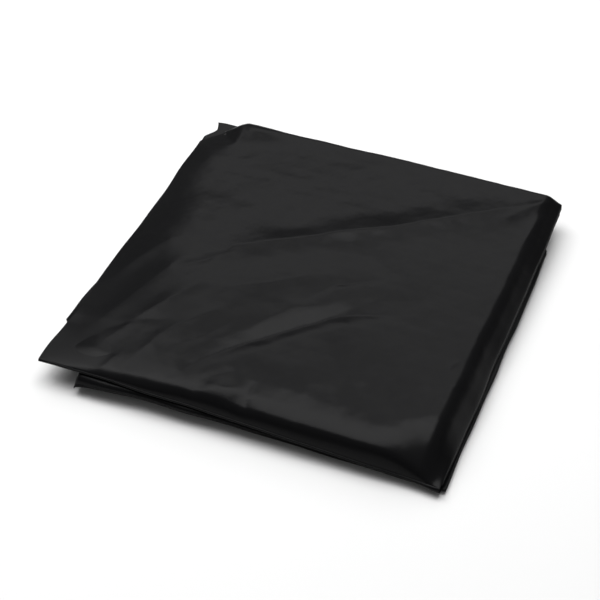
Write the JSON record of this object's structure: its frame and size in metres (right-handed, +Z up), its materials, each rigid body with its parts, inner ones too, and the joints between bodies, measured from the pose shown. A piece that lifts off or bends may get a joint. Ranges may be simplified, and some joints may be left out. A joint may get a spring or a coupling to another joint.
{
  "type": "grill cover",
  "caption": "Rectangular gas grill cover of satin black coated cloth, folded flat into a square, pillow-like packet whose fan-folded leaves open.",
  "frame": {"origin": "on the floor, under the middle of the folded packet", "axes": "+Z up through the leaves, X along the fan fold's lines, +Y from the upper bundle's front fold line to its back edge"},
  "size_m": [0.3626, 0.3682, 0.0414],
  "materials": {
    "coated_cloth": "satin, coated, plain black",
    "binding_tape": "matte woven tape",
    "webbing": "matte woven webbing",
    "hook_and_loop": "matte pile",
    "label_cloth": "smooth satin ribbon, blank"
  },
  "bodies": {
    "base_leaf": {"front_panel_base_leaf": "coated_cloth", "back_panel_base_leaf": "coated_cloth", "left_gusset_base_leaf": "coated_cloth", "right_gusset_base_leaf": "coated_cloth", "top_panel": "coated_cloth", "front_seam_tape": "binding_tape", "back_seam_tape": "binding_tape"},
    "second_leaf": {"front_panel_second_leaf": "coated_cloth", "back_panel_second_leaf": "coated_cloth", "left_gusset_second_leaf": "coated_cloth", "right_gusset_second_leaf": "coated_cloth"},
    "third_leaf": {"front_panel_third_leaf": "coated_cloth", "back_panel_third_leaf": "coated_cloth", "left_gusset_third_leaf": "coated_cloth", "right_gusset_third_leaf": "coated_cloth"},
    "top_leaf": {"front_panel_top_leaf": "coated_cloth", "back_panel_top_leaf": "coated_cloth", "left_gusset_top_leaf": "coated_cloth", "right_gusset_top_leaf": "coated_cloth", "front_hem_tape": "binding_tape", "back_hem_tape": "binding_tape", "left_hem_tape": "binding_tape", "right_hem_tape": "binding_tape", "care_label": "label_cloth", "left_strap": "webbing", "left_hook_pad": "hook_and_loop", "left_loop_pad": "hook_and_loop", "right_strap": "webbing", "right_hook_pad": "hook_and_loop", "right_loop_pad": "hook_and_loop"}
  },
  "joints": [
    {"name": "lower_front_fold", "type": "hinge", "parent": "second_leaf", "child": "base_leaf", "pos_m": [0, -0.18438, 0.0102], "axis": [-1, 0, 0], "range_deg": [0, 178]},
    {"name": "back_fold", "type": "hinge", "parent": "second_leaf", "child": "third_leaf", "pos_m": [0, 0.18438, 0.0207], "axis": [-1, 0, 0], "range_deg": [0, 178]},
    {"name": "upper_front_fold", "type": "hinge", "parent": "third_leaf", "child": "top_leaf", "pos_m": [0, -0.18438, 0.0312], "axis": [1, 0, 0], "range_deg": [0, 178]}
  ]
}
